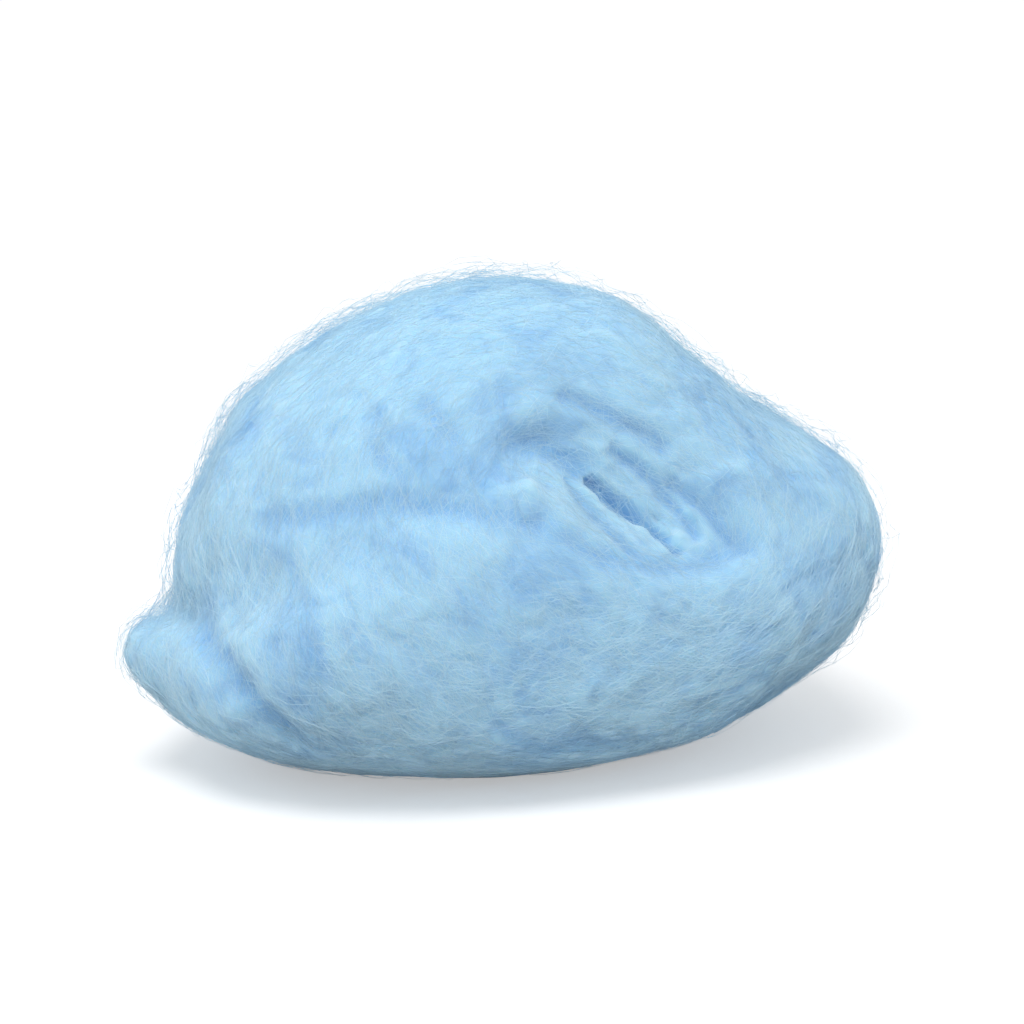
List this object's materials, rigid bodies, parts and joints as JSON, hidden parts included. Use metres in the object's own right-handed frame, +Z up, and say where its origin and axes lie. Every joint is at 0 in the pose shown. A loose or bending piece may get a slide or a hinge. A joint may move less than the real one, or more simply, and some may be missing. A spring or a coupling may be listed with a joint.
{
  "type": "cotton ball",
  "caption": "Soft pale blue cotton ball: a strip of carded cotton web rolled up, with its ends tucked in and a loose tail along one side.",
  "frame": {"origin": "on the surface that the ball rests on, under the middle of its box", "axes": "+X along the ball's longest side, to the right as the picture shows it; -Y towards the picture's viewer, where the end of the roll shows; +Z up from the resting face"},
  "size_m": [0.0384, 0.0332, 0.0258],
  "materials": {
    "cotton": "matt, fluffy"
  },
  "bodies": {
    "root": {"cotton_ball": "cotton"}
  },
  "joints": []
}
